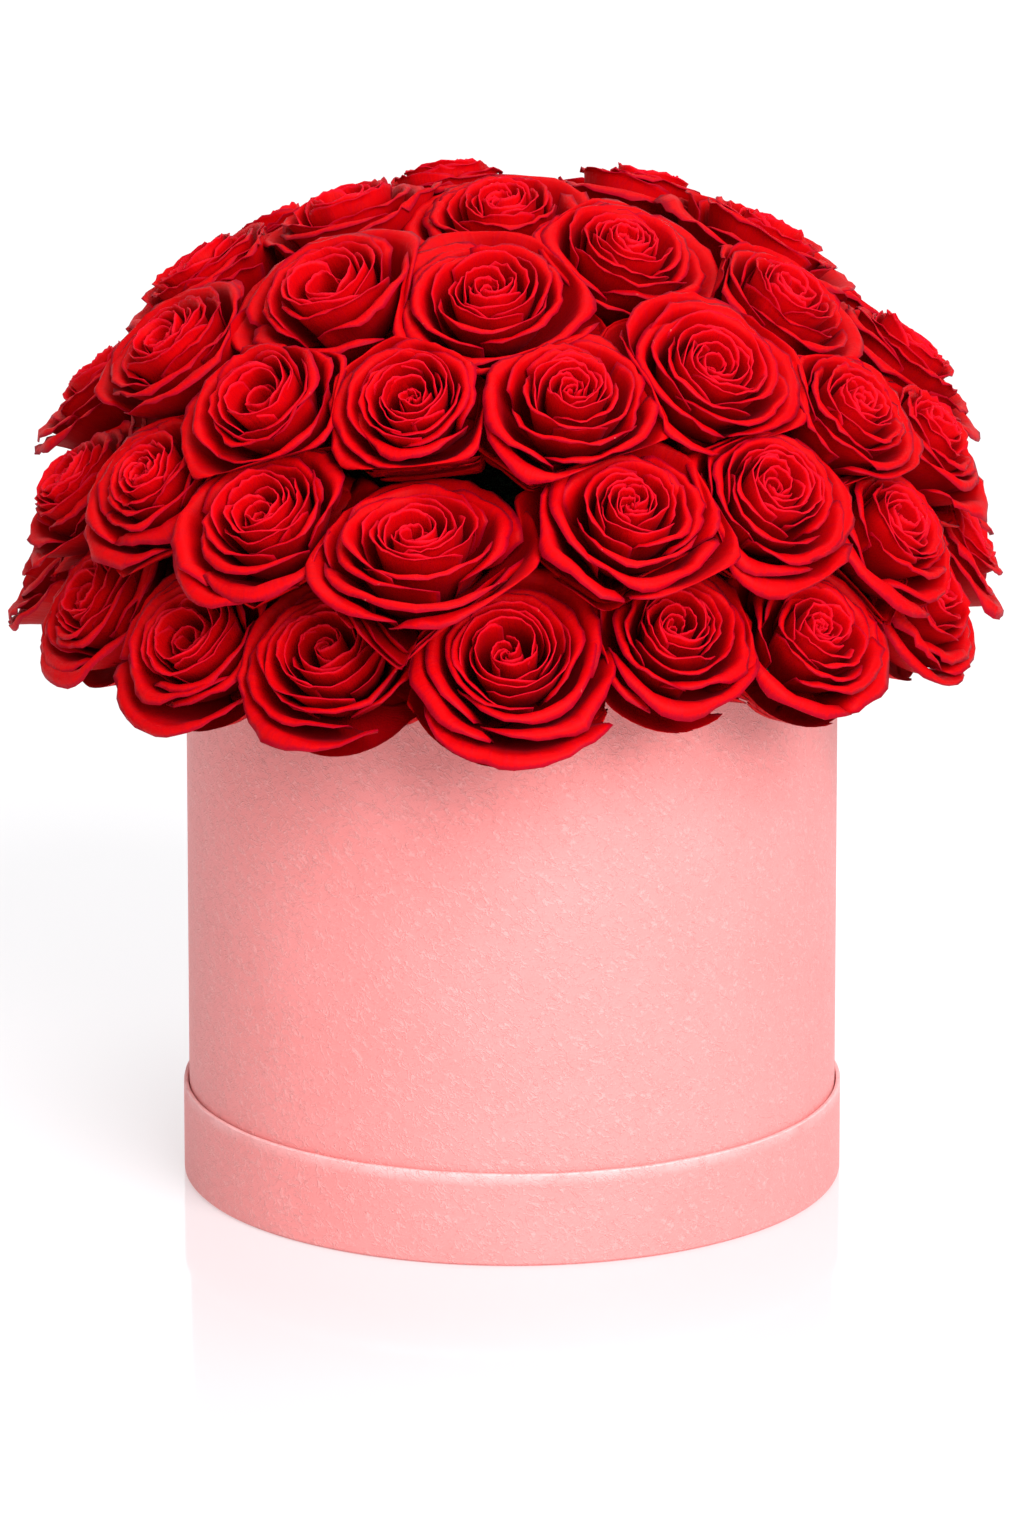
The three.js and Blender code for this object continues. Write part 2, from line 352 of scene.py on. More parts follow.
rosePaint = {
    "heartShade": (0.13, 0.0001, 0.0010), "red": (0.64, 0.0001, 0.0010), "guard": (0.46, 0.0001, 0.0018),
    # The inner rim colour is a painted pink highlight along the lips of the inner petals
    "lit": (0.69, 0.0006, 0.0040), "innerRimHighlight": (0.68, 0.004, 0.022), "guardRim": (0.30, 0.0004, 0.014),
    "nick": (0.70, 0.16, 0.13), "veinDepth": 0.00022, "sheen": 0.03, "sheenSpread": 0.35,
    "sheenTint": (1.0, 0.10, 0.22, 1.0),
}


# Velvet red petals: painted shade at the foot, painted light towards the lip, with veins, a thin purple rim on the
# guard petals, a painted pink highlight along the lips of the inner petals and a few pale nicks
def rosePetal():
    material, tree, shader = newMaterial("rosePetal", 0.52, 0.05)
    paint = rosePaint
    names = ("along", "across", "age", "tone", "petal")
    along, across, age, tone, petal = (readNumber(tree, name) for name in names)
    flat = joined(tree, across * 5.5, along * 0.9, petal * 3.3)
    veins = linesOn(tree, flat, 2.2, 16.0, 0.3, 0.75)
    tones = tonesOn(tree, objectPoint(tree), 55.0, 260.0, 2600.0)
    side = calc("ABSOLUTE", across)
    rimNoise = noiseOn(tree, joined(tree, across * 6.0, petal * 1.7, tone), 3.0, 3.0, 0.7)
    atTop = along + (rimNoise - 0.5) * 0.07
    edge = calc("MAXIMUM", riseOf(atTop, 0.93, 0.985), riseOf(side + (rimNoise - 0.5) * 0.05, 0.955, 0.99)
                * riseOf(along, 0.45, 0.7))
    nearLip = riseOf(along, 0.55, 0.97)
    colour = mixed(riseOf(along, 0.35, 0.96), paint["heartShade"], paint["red"])
    colour = mixed(age * 0.55 * (0.5 + tone * 0.8), colour, paint["guard"])
    colour = mixed(nearLip * (0.30 + tones["Cloud"] * 0.5) * (1.0 - age * 0.5), colour, paint["lit"])
    colour = mixed(veins["Line"] * 0.22, colour, paint["guardRim"])
    colour = mixed((tones["Blotch"] - 0.3) * 0.35, colour, paint["guard"])
    # The rim line is a painted pink highlight on the inner petals and a thin purple rim on the guard petals
    rim = mixed(riseOf(age, 0.35, 0.8), paint["innerRimHighlight"], paint["guardRim"])
    colour = mixed(edge * 0.75, colour, rim)
    nickPlace = joined(tree, across * 3.0, along * 2.0, petal * 2.9 + tone * 7.0)
    nick = riseOf(noiseOn(tree, nickPlace, 2.4, 2.0, 0.7), 0.74, 0.80)
    colour = mixed(nick * riseOf(atTop, 0.93, 0.99) * 0.6, colour, paint["nick"])
    plug(tree, colour, shader.inputs["Base Color"])
    plug(tree, 0.44 + tones["Grain"] * 0.2, shader.inputs["Roughness"])
    height = veins["Broad"] * 0.5 + tones["Grain"] * 0.5 + tones["Blotch"] * 0.5
    bumpInto(tree, shader, height, paint["veinDepth"], 0.7)
    shader.inputs["Sheen Weight"].default_value = paint["sheen"]
    shader.inputs["Sheen Roughness"].default_value = paint["sheenSpread"]
    shader.inputs["Sheen Tint"].default_value = paint["sheenTint"]
    return material


pinkPaper = pinkLeatherette()
cardGrey = linedSurface("greyCard", 0.9, 0.2, cardPaint)
foamGreen = wetFoam()
foamBeads = beadFoam()
filmClear = clearFilm()
petalRed = rosePetal()
stalkSkin = linedSurface("stalkGreen", 0.5, 0.4, stalkPaint)
print("materials made")

# Camera at 4.3 m and a little above the box, on its middle
view = {"distance": 4.3, "elevation": 15.85, "aim": 0.1573, "lens": 266.2, "sensor": 36.0}
camera = placed("frontCamera", bpy.data.cameras.new("frontCamera"))
rising = math.radians(view["elevation"])
camera.location = (0, -view["distance"] * math.cos(rising), view["aim"] + view["distance"] * math.sin(rising))
camera.rotation_euler = (math.pi / 2 - rising, 0, 0)
camera.data.lens = view["lens"]
camera.data.sensor_width = view["sensor"]
camera.data.clip_end = 50
bpy.context.scene.camera = camera
bpy.context.scene.view_settings.view_transform = "Standard"


# Closed outline turned about the upright axis, with a sheetUv map in metres round and along the outline
def latheMesh(name, outline, material, steps, waviness=None, foldAt=None):
    points = np.array(outline, dtype=float)
    count = len(points)
    angles = np.linspace(0, 2 * math.pi, steps, endpoint=False) + math.pi / 2
    radii = np.repeat(points[None, :, 0], steps, 0)
    heights = np.repeat(points[None, :, 1], steps, 0)
    if waviness:
        radii, heights = waviness(angles[:, None], radii, heights)
    verts = np.stack([radii * np.cos(angles)[:, None], radii * np.sin(angles)[:, None], heights], 2).reshape(-1, 3)
    following = np.roll(points, -1, 0)
    lengths = np.concatenate([[0], np.cumsum(np.linalg.norm(following - points, axis=1))])
    widest = points[:, 0].max()
    faces, uvs = [], []
    for step in range(steps):
        after = (step + 1) % steps
        for index in range(count):
            beside = (index + 1) % count
            faces.append((step * count + index, after * count + index, after * count + beside,
                          step * count + beside))
            left, right = step / steps * 2 * math.pi * widest, (step + 1) / steps * 2 * math.pi * widest
            uvs += [(left, lengths[index]), (right, lengths[index]), (right, lengths[index + 1]),
                    (left, lengths[index + 1])]
    mesh = bpy.data.meshes.new(name)
    mesh.from_pydata(verts.tolist(), [], faces)
    layer = mesh.uv_layers.new(name="sheetUv")
    layer.data.foreach_set("uv", np.array(uvs).ravel())
    # The fold value marks the band round the top edge that takes a painted highlight
    if foldAt:
        drawn = mesh.attributes.new("fold", "FLOAT", "POINT")
        drawn.data.foreach_set("value", np.clip((heights.ravel() - foldAt) / boxSizes["foldBlend"], 0, 1))
    mesh.materials.append(material)
    return finishMesh(name, mesh)


def finishMesh(name, mesh, angle=0.6):
    mesh.validate()
    mesh.update()
    mesh.shade_smooth()
    mesh.set_sharp_from_angle(angle=angle)
    return placed(name, mesh)


# A path of [radius, height] corners, each rounded by its own radius and cut finely enough to bend and shade well
def roundedPath(corners, fine=5, step=0.004):
    path = []
    for index, (radius, height, rounding) in enumerate(corners):
        here = np.array([radius, height])
        if index in (0, len(corners) - 1) or rounding == 0:
            path.append(here)
            continue
        before = np.array(corners[index - 1][:2]) - here
        after = np.array(corners[index + 1][:2]) - here
        start = here + before / np.linalg.norm(before) * rounding
        end = here + after / np.linalg.norm(after) * rounding
        for share in np.linspace(0, 1, fine):
            path.append(start * (1 - share) ** 2 + here * 2 * share * (1 - share) + end * share ** 2)
    spread = [path[0]]
    for point in path[1:]:
        gap = np.linalg.norm(point - spread[-1])
        if gap < 1e-6:
            continue
        parts = max(1, int(gap / step))
        origin = spread[-1]
        spread += [origin + (point - origin) * (part + 1) / parts for part in range(parts)]
    return np.array(spread)


# The skin of a path: its own line on the outside and the same line one thickness further in
def skinOutline(path, thickness):
    along = np.gradient(path, axis=0)
    along /= np.linalg.norm(along, axis=1)[:, None]
    inward = np.stack([-along[:, 1], along[:, 0]], 1) * thickness
    return np.concatenate([path, (path + inward)[::-1]])


boxSizes = {
    "paper": 0.3 * mm, "glue": 0.1 * mm, "steps": 240, "boxRadius": 123 * mm, "boxBottom": 2.5 * mm,
    "rim": 218 * mm, "boxCard": 1.8 * mm, "boxFold": 15 * mm, "underFold": 14 * mm, "boxRound": 0.9 * mm,
    "trayRadius": 125.1 * mm, "trayHeight": 36 * mm, "trayCard": 0.9 * mm, "trayFold": 12 * mm,
    "trayRound": 0.65 * mm, "footRound": 1.2 * mm, "linerRadius": 119.6 * mm, "linerBottom": 150.3 * mm,
    "linerTop": 206 * mm, "film": 0.4 * mm, "foldEdge": 0.0009, "foldBlend": 0.0004,
}
# How far hand-laid paper and film stray from true, in and out or up and down
handLaid = {"trayOut": 0.00005, "trayUp": 0.00009, "rimUp": 0.00006, "linerIn": 0.00016, "linerUp": 0.0004}


# The lid's top edge runs very slightly up and down and its wall very slightly in and out
def trayWave(angle, radii, heights):
    slow = np.sin(angle * 3 + 0.6) + 0.6 * np.sin(angle * 7 + 2.0) + 0.45 * np.sin(angle * 19 + 1.0)
    quick = np.sin(angle * 41 + 0.4) * np.sin(angle * 13 + 2.2)
    raised = np.clip(heights / boxSizes["trayHeight"], 0, 1) ** 6
    return (radii + handLaid["trayOut"] * (slow * 0.5 + quick) * raised,
            heights + handLaid["trayUp"] * (slow + quick) * raised)


def rimWave(angle, radii, heights):
    slow = np.sin(angle * 2 + 1.1) + 0.7 * np.sin(angle * 5 + 0.3) + 0.4 * np.sin(angle * 17)
    raised = np.clip(heights / boxSizes["rim"], 0, 1) ** 20
    return radii, heights + handLaid["rimUp"] * slow * raised


def boxPieces():
    size = boxSizes
    outer, rim, low = size["boxRadius"], size["rim"], size["boxBottom"]
    skin = size["paper"] + size["glue"]
    inner = outer - size["boxCard"] - 2 * skin
    corners = [(outer - size["paper"] - size["underFold"], low, 0), (outer, low, size["boxRound"]),
               (outer, rim, size["boxRound"]), (inner, rim, size["boxRound"]), (inner, rim - size["boxFold"], 0)]
    cover = latheMesh("boxCover", skinOutline(roundedPath(corners), size["paper"]), pinkPaper, size["steps"],
                      rimWave, rim - size["foldEdge"])
    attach(cover, "box")
    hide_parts("box_cover_paper")
    cardOut, cardIn = outer - skin, outer - skin - size["boxCard"]
    cardLow, cardHigh = low + skin, rim - size["paper"] - size["glue"] * 2.5
    bevel = size["boxRound"] * 0.8
    ring = roundedPath([(cardIn, (cardLow + cardHigh) / 2, 0), (cardIn, cardLow, bevel * 0.3),
                        (cardOut, cardLow, bevel), (cardOut, cardHigh, bevel), (cardIn, cardHigh, bevel),
                        (cardIn, (cardLow + cardHigh) / 2 + mm, 0)])
    tube = latheMesh("boxTube", ring, cardGrey, size["steps"])
    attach(tube, "box")
    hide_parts("box_tube")


def trayPieces():
    size = boxSizes
    outer, top, skin = size["trayRadius"], size["trayHeight"], size["paper"] + size["glue"]
    inner = outer - size["trayCard"] - 2 * skin
    corners = [(outer - size["footRound"], skin, 0), (outer, skin, size["footRound"] * 0.95),
               (outer, top, size["trayRound"]), (inner, top, size["trayRound"] * 0.9),
               (inner, top - size["trayFold"], 0)]
    cover = latheMesh("trayRimPaper", skinOutline(roundedPath(corners), size["paper"]), pinkPaper,
                      size["steps"], trayWave, top - size["foldEdge"])
    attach(cover, "tray")
    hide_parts("tray_rim_paper")
    cardOut, cardIn = outer - skin, outer - skin - size["trayCard"]
    cardHigh = top - size["paper"] - size["glue"] * 3
    bevel = size["trayCard"] * 0.42
    ring = roundedPath([(cardIn, 0.018, 0), (cardIn, skin, bevel * 0.3), (cardOut, skin, bevel * 2.1),
                        (cardOut, cardHigh, bevel), (cardIn, cardHigh, bevel), (cardIn, 0.019, 0)])
    wall = latheMesh("trayWall", ring, cardGrey, size["steps"])
    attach(wall, "tray")
    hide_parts("tray_wall")
    face = discMesh("trayFacePaper", outer - size["footRound"] * 0.75, size["paper"])
    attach(face, "tray")
    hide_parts("tray_face_paper")


# Round sheet of paper with a softly turned up edge, flat at 0, its sheetUv map in metres from the middle
def discMesh(name, radius, thickness):
    rings = [0.004, 0.03, 0.06, 0.09, radius - 0.004, radius - 0.0008, radius]
    under = [(ring, 0.0) for ring in rings[:-1]] + [(rings[-1], thickness * 0.35)]
    outline = under + [(ring, thickness) for ring in rings][::-1]
    steps, count = boxSizes["steps"], len(outline)
    middle, points, faces = steps * count, [], []
    for step in range(steps):
        angle = 2 * math.pi * step / steps + math.pi / 2
        points += [(ring * math.cos(angle), ring * math.sin(angle), height) for ring, height in outline]
        here, beside = step * count, (step + 1) % steps * count
        faces += [(here + index, beside + index, beside + index + 1, here + index + 1)
                  for index in range(count - 1)]
        faces += [(middle, beside, here), (middle + 1, here + count - 1, beside + count - 1)]
    mesh = bpy.data.meshes.new(name)
    mesh.from_pydata(points + [(0, 0, 0), (0, 0, thickness)], [], faces)
    layer = mesh.uv_layers.new(name="sheetUv")
    for loop in mesh.loops:
        layer.data[loop.index].uv = mesh.vertices[loop.vertex_index].co.xy
    mesh.materials.append(pinkPaper)
    return finishMesh(name, mesh)


# Film bowl that holds the foam, standing a little unevenly with small upright crinkles
def linerWave(angle, radii, heights):
    up = np.clip((heights - boxSizes["linerBottom"]) / 0.05, 0, 1)
    outside = radii > boxSizes["linerRadius"] * 0.9
    crinkle = np.sin(angle * 37) * 0.5 + np.sin(angle * 61 + 1) * 0.3 + np.sin(angle * 23 + heights * 90) * 0.4
    edge = np.sin(angle * 29 + 0.5) + 0.6 * np.sin(angle * 67)
    return (radii - handLaid["linerIn"] * (crinkle + 1.2) * up * outside,
            heights - handLaid["linerUp"] * (edge + 1.6) * up ** 4)


def linerPiece():
    size = boxSizes
    low, high, outer, film = size["linerBottom"], size["linerTop"], size["linerRadius"], size["film"]
    path = roundedPath([(0.004, low, 0), (outer, low, 0.0015), (outer, high, 0)])
    outline = skinOutline(path, film * 0.55)
    made = latheMesh("foamLiner", outline, filmClear, size["steps"], linerWave)
    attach(made, "arrangement")
    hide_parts("foam_liner")


boxPieces()
trayPieces()
linerPiece()
for nodeName, skin in (("tray_floor", cardGrey), ("box_floor", cardGrey), ("riser_block", foamBeads),
                       ("foam_block", foamGreen)):
    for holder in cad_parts[nodeName].material_slots:
        holder.material = skin
print("box, lid and liner made")

# Where each bloom stands: turn round the box from the front, rise up the dome, and radius in mm, then the look of
# its heart (t tight, s swirl, b standing bud in a hollow, o open) and extra upward tilt. Angles are in degrees
bloomRows = {
    "rim": [(-67, 0, 32, "s", 6), (-44, 0, 34, "o", 12), (-23, 1, 37, "b", 16), (0, 2, 38, "b", 16),
            (21, 4, 32, "s", 14), (41, 1, 32, "t", 12), (67, 0, 30, "t", 4), (89, 3, 33, "s", 2),
            (150, 1, 33, "t", 10), (172, 1, 34, "s", 10), (-166, 1, 34, "b", 10), (-142, 1, 34, "t", 10),
            (-118, 1, 35, "o", 10), (-94, 0, 33, "s", 10)],
    "lower": [(-79, 12, 31, "s", 4), (-56, 18, 30, "t", 2), (-34, 17, 34, "s", 10), (-12, 16, 42, "s", 27),
              (16, 19, 36, "t", 8), (37, 19, 33, "s", -2), (59, 11, 30, "s", 0), (78, 19, 31, "t", 2),
              (109, 7, 36, "s", 10), (129, 7, 35, "b", 10), (153, 21, 35, "t", 8), (180, 20, 34, "s", 8),
              (-153, 19, 35, "o", 8), (-128, 20, 34, "t", 8), (-102, 20, 33, "s", 8)],
    "upper": [(-71, 34, 34, "s", 0), (-41, 31, 32, "o", -6), (-16, 34, 30, "b", -8), (9, 35, 36, "t", 2),
              (35, 37, 36, "s", -6), (58, 27, 30, "t", -2), (97, 26, 36, "s", 4), (127, 28, 37, "t", 4),
              (163, 42, 34, "b", 0), (-165, 40, 34, "s", 0), (-133, 42, 35, "t", 0), (-97, 42, 34, "s", 0)],
    "inner": [(-44, 51, 36, "o", -4), (-6, 54, 38, "t", -4), (41, 63, 35, "t", -8), (66, 44, 31, "s", -4),
              (103, 50, 38, "t", -2), (140, 58, 36, "s", 0), (-157, 63, 34, "t", 0), (-98, 64, 34, "s", 0)],
    "crown": [(-16, 84, 37, "t", -10)],
}
# In metres and degrees. The dome's outline lies between an ellipse and its box, and fullness says how near the box
domeSizes = {
    "radius": 0.170, "base": 0.243, "rise": 0.135, "fullness": 2.3, "rimTilt": 30.0, "tiltPerRise": 0.65,
    "rimStemTilt": 1.0, "stemLength": 0.066, "stemRadius": 0.003, "calyx": 0.006,
    "steepest": 88.0,
}
heartLooks = {
    "t": {"Heart": 0.030, "Heart drop": 0.001, "Hollow": 0.0, "Petals": 25},
    "s": {"Heart": 0.060, "Heart drop": 0.004, "Hollow": 0.05, "Petals": 24},
    "b": {"Heart": 0.045, "Heart drop": 0.001, "Hollow": 0.17, "Petals": 22},
    "o": {"Heart": 0.100, "Heart drop": 0.007, "Hollow": 0.12, "Petals": 21},
}
bloomSizes = {
    "Petals": 30, "Bloom radius": 0.036, "Bloom depth": 0.032, "Heart": 0.05, "Heart drop": 0.003,
    "Hollow": 0.0, "Crest": 0.0065, "Guard drop": 0.011, "Reflex": 0.006, "Lip": 0.0042, "Ruffle": 0.0016,
    "Tone": 0.5, "Seed": 1, "Across": 18, "Along": 11, "Collar": 11, "Collar reach": 1.16,
    "Collar drop": 0.018,
}
# What each bloom draws for itself: a base, and what its draw adds. The radius is a share of the bloom's own
bloomDraws = {
    "Bloom radius": (1.06, 0.06), "Petals": (-1, 4), "Guard drop": (0.003, 0.005), "Lip": (0.0017, 0.0014),
    "Tone": (0.2, 0.6), "Crest": (0.0055, 0.002),
}
petalThickness = 0.00038


def newTree(name, sizes):
    tree = bpy.data.node_groups.new(name, "GeometryNodeTree")
    tree.interface.new_socket("Geometry", in_out="INPUT", socket_type="NodeSocketGeometry")
    for label, value in sizes.items():
        kind = "NodeSocketInt" if isinstance(value, int) else "NodeSocketFloat"
        tree.interface.new_socket(label, in_out="INPUT", socket_type=kind).default_value = value
    tree.interface.new_socket("Geometry", in_out="OUTPUT", socket_type="NodeSocketGeometry")
    entry = tree.nodes.new("NodeGroupInput")
    inputs = {socket.name: Wire(tree, socket) for socket in entry.outputs if socket.name}
    return tree, inputs, tree.nodes.new("NodeGroupOutput")


def randomFor(idWire, seedWire, low, high, offset):
    node = idWire.tree.nodes.new("FunctionNodeRandomValue")
    node.data_type = "FLOAT"
    limits = [socket for socket in node.inputs if socket.type == "VALUE"]
    limits[0].default_value, limits[1].default_value = low, high
    plug(idWire.tree, idWire, node.inputs["ID"])
    plug(idWire.tree, seedWire + offset, node.inputs["Seed"])
    return Wire(idWire.tree, next(socket for socket in node.outputs if socket.type == "VALUE"))


def storeOn(tree, geometry, name, value):
    node = fedNode(tree, "GeometryNodeStoreNamedAttribute", geometry)
    node.data_type = "FLOAT"
    node.domain = "POINT"
    node.inputs["Name"].default_value = name
    plug(tree, value, node.inputs["Value"])
    return node.outputs["Geometry"]


def stored(tree, name):
    node = tree.nodes.new("GeometryNodeInputNamedAttribute")
    node.data_type = "FLOAT"
    node.inputs["Name"].default_value = name
    return Wire(tree, node.outputs["Attribute"])


# Flat petal sheets, one for each point of a line, with their place on the petal stored as across and along
def petalSheets(tree, size):
    grid = tree.nodes.new("GeometryNodeMeshGrid")
    grid.inputs["Size X"].default_value = 2.0
    grid.inputs["Size Y"].default_value = 1.0
    plug(tree, size["Across"], grid.inputs["Vertices X"])
    plug(tree, size["Along"], grid.inputs["Vertices Y"])
    split = fedNode(tree, "ShaderNodeSeparateXYZ", tree.nodes.new("GeometryNodeInputPosition").outputs[0])
    sheet = storeOn(tree, grid.outputs["Mesh"], "across", Wire(tree, split.outputs[0]))
    sheet = storeOn(tree, sheet, "along", Wire(tree, split.outputs[1]) + 0.5)
    row = tree.nodes.new("GeometryNodeMeshLine")
    plug(tree, size["Petals"], row.inputs["Count"])
    row.inputs["Offset"].default_value = (0, 0, 0)
    index = Wire(tree, tree.nodes.new("GeometryNodeInputIndex").outputs[0])
    row = storeOn(tree, row.outputs["Mesh"], "petal", index)
    copies = fedNode(tree, "GeometryNodeInstanceOnPoints", row)
    tree.links.new(sheet, copies.inputs["Instance"])
    return fedNode(tree, "GeometryNodeRealizeInstances", copies.outputs[0]).outputs[0]


# How every petal is set out and bent. A pair holds the value at the heart and the value at the guard petals,
# or what its own note says
petalShape = {
    "goldenAngle": 2.39996, "turnJitter": 0.45, "wrap": (2.4, 1.12), "wrapJitter": 0.16, "footWrap": 0.42,
    "ringPower": 1.55, "ringReach": 0.93, "guardReach": 0.09, "reachJitter": 0.06, "crestAge": 0.36,
    "guardFall": 1.7, "topJitter": 0.0015, "collarLift": 0.05, "collarJitter": (-0.22, 0.05),  # least and most
    "shoulder": (0.05, 0.24), "tip": 0.045, "tipJitter": 0.05, "serration": 0.055,
    "foot": (0.0012, 0.0036), "footHeight": (0.006, 0.003),  # a base, and what age adds or takes off
    "belly": (1.25, 0.74), "bellyWall": 0.0030, "bellyRise": (0.36, 0.10),
    "neck": (1.30, 0.86), "neckWall": 0.0012, "neckDrop": 0.0085, "fold": 0.05,
    "lipRandom": (0.45, 1.1), "lipOut": 0.9, "lipDown": 0.8,  # the random lip: a base, and what the draw adds
    "swell": (5.5, -2.5), "frill": (1.8, 4.4), "lean": 0.05, "toneJitter": 0.3,  # waves outward and upward
}


# One bloom with its calyx at the origin: petals set round it at the golden angle, rolled tight in the heart,
# cupped in the middle rings, wide and turned back at the guard petals
def bloomTree():
    tree, size, leave = newTree("roseBloom", bloomSizes)
    form = petalShape
    sheets = petalSheets(tree, size)
    u, v, order = stored(tree, "across"), stored(tree, "along"), stored(tree, "petal")
    seed = size["Seed"]
    last = size["Petals"] - size["Collar"] - 1.0
    age = calc("MINIMUM", order / last, 1.0)  # 0 for the petal at the heart, 1 for the outermost guard petal
    collar = riseOf(order, last, last + 1.0)  # 1 for the low petals that fill the room between the blooms
    side = calc("ABSOLUTE", u)

    def jitter(amount, key):
        return randomFor(order, seed, -amount, amount, key)

    middle = order * form["goldenAngle"] + jitter(form["turnJitter"], 11)
    wide = between(*form["wrap"], age ** 0.5) * (1.0 + jitter(form["wrapJitter"], 23))
    angle = middle + wide * u * between(form["footWrap"], 1.0, riseOf(v, -0.05, 0.6))

    rings = (age ** form["ringPower"]) * form["ringReach"] + riseOf(age, 0.72, 1.0) * form["guardReach"]
    rings = rings + size["Hollow"] * riseOf(age, 0.16, 0.30) * (1.0 - age)
    reach = size["Bloom radius"] * between(size["Heart"], 1.0, rings)
    reach = reach * (1.0 + jitter(form["reachJitter"], 37) * riseOf(age, 0.1, 0.6))
    collarStretch = randomFor(order, seed, *form["collarJitter"], 39)
    reach = reach * between(1.0, size["Collar reach"] + collarStretch, collar)
    crestAge = form["crestAge"]
    inner = calc("MAXIMUM", 1.0 - age * (1 / crestAge), 0.0)
    outer = calc("MAXIMUM", (age - crestAge) * (1 / (1 - crestAge)), 0.0)
    lift = size["Crest"] - (size["Crest"] + size["Heart drop"]) * inner * inner
    lift = lift - (size["Crest"] + size["Guard drop"]) * (outer ** form["guardFall"])
    lift = lift - collar * (size["Collar drop"] - collarStretch * form["collarLift"])
    top = size["Bloom depth"] + lift + jitter(form["topJitter"], 41)

    tip = calc("EXPONENT", u * u * -40.0)
    fall = between(*form["shoulder"], riseOf(age, 0.0, 0.35))
    tipRise = form["tip"] + randomFor(order, seed, 0.0, form["tipJitter"], 43)
    crown = 1.0 - fall * (side ** 3.0) + tip * age * age * tipRise
    serration = noiseOn(tree, joined(tree, u * 7.0, order * 2.3, seed * 0.7), 2.6, 3.0) - 0.5

    # Each petal's side view is a curve through foot, belly, neck and lip: s runs up it from 0 to 1
    s = v * crown + serration * form["serration"] * age * (v ** 8.0)
    w = 1.0 - s
    foot = form["foot"][0] + age * form["foot"][1]
    footHeight = form["footHeight"][0] - age * form["footHeight"][1]
    belly = between(reach * form["belly"][0] + form["bellyWall"], reach * form["belly"][1], age ** 0.55)
    bellyHeight = footHeight + (top - footHeight) * between(*form["bellyRise"], age)
    neck = between(reach * form["neck"][0] + form["neckWall"], reach * form["neck"][1], age ** 0.45)
    neckHeight = top - between(form["neckDrop"], size["Reflex"] * -1.0, age)

    def curve(first, second, third, last):
        return w * w * w * first + w * w * s * 3.0 * second + w * s * s * 3.0 * third + s * s * s * last

    radius = curve(foot, belly, neck, reach)
    height = curve(footHeight, bellyHeight, neckHeight, top)
    step = size["Bloom radius"] / size["Petals"]
    radius = radius + step * 2.0 * u * riseOf(v, 0.0, 0.5)  # one edge of a petal lies inside its neighbour
    fold = calc("EXPONENT", u * u * -6.5)
    radius = radius + reach * form["fold"] * fold * (v ** 3.0) * riseOf(age, 0.05, 0.5)

    margin = calc("MAXIMUM", riseOf(v, 0.76, 1.0), riseOf(side, 0.80, 1.05) * riseOf(v, 0.25, 0.6))
    lip = size["Lip"] * between(0.10, 1.0, age * age) * margin * margin
    lip = lip * (form["lipRandom"][0] + randomFor(order, seed, 0.0, form["lipRandom"][1], 53))
    radius = radius + lip * form["lipOut"]
    height = height - lip * form["lipDown"]

    away = seed * 1.31
    swell = noiseOn(tree, joined(tree, u * 1.3, v * 0.9, order * 3.7 + away), 1.6, 1.0) - 0.5
    frill = noiseOn(tree, joined(tree, u * 3.4, v * 1.6, order * 5.1 + away), 2.4, 2.0) - 0.5
    amount = size["Ruffle"] * between(0.25, 1.0, age) * (v ** 1.5)
    radius = radius + (swell * form["swell"][0] + frill * form["frill"][0] * margin) * amount
    height = height + (swell * form["swell"][1] + frill * form["frill"][1] * margin) * amount

    leanWay = randomFor(seed, seed, 0.0, 6.28, 71)  # the heart leans a little to one side
    leanSize = size["Bloom radius"] * form["lean"] * (1.0 - age) * v
    x = radius * calc("COSINE", angle) + leanSize * calc("COSINE", leanWay)
    y = radius * calc("SINE", angle) + leanSize * calc("SINE", leanWay)
    move = fedNode(tree, "GeometryNodeSetPosition", sheets)
    tree.links.new(joined(tree, x, y, height), move.inputs["Position"])
    petals = storeOn(tree, move.outputs[0], "age", age)
    petals = storeOn(tree, petals, "tone", size["Tone"] + jitter(form["toneJitter"], 61))
    smooth = fedNode(tree, "GeometryNodeSetShadeSmooth", petals)
    whole = fedNode(tree, "GeometryNodeRealizeInstances", smooth.outputs[0])
    paint = fedNode(tree, "GeometryNodeSetMaterial", whole.outputs[0])
    paint.inputs["Material"].default_value = petalRed
    tree.links.new(paint.outputs[0], leave.inputs["Geometry"])
    return tree


# Runs a node tree and gives back the plain mesh that it makes, with a wall where the tree makes thin sheets
def meshFromTree(tree, name, values, thickness):
    maker = placed(name + "Maker", bpy.data.meshes.new(name + "Maker"))
    modifier = maker.modifiers.new("shape", "NODES")
    modifier.node_group = tree
    for item in tree.interface.items_tree:
        if item.in_out == "INPUT" and item.name in values:
            modifier[item.identifier] = values[item.name]
    wall = maker.modifiers.new("wall", "SOLIDIFY")
    wall.thickness = thickness
    wall.offset = 0.0
    depsgraph = bpy.context.evaluated_depsgraph_get()
    mesh = bpy.data.meshes.new_from_object(maker.evaluated_get(depsgraph), depsgraph=depsgraph)
    mesh.name = name
    bpy.data.objects.remove(maker)
    return mesh


def outward(turn, tilt):
    around, up = math.radians(turn), math.radians(tilt)
    return Vector((math.cos(up) * math.sin(around), -math.cos(up) * math.cos(around), math.sin(up)))


def domePoint(turn, rise):
    size, angle = domeSizes, math.radians(rise)
    across = abs(math.cos(angle)) / size["radius"]
    upward = abs(math.sin(angle)) / size["rise"]
    reach = (across ** size["fullness"] + upward ** size["fullness"]) ** (-1 / size["fullness"])
    place = outward(turn, 0) * (reach * math.cos(angle))
    return Vector((place.x, place.y, size["base"] + reach * math.sin(angle)))


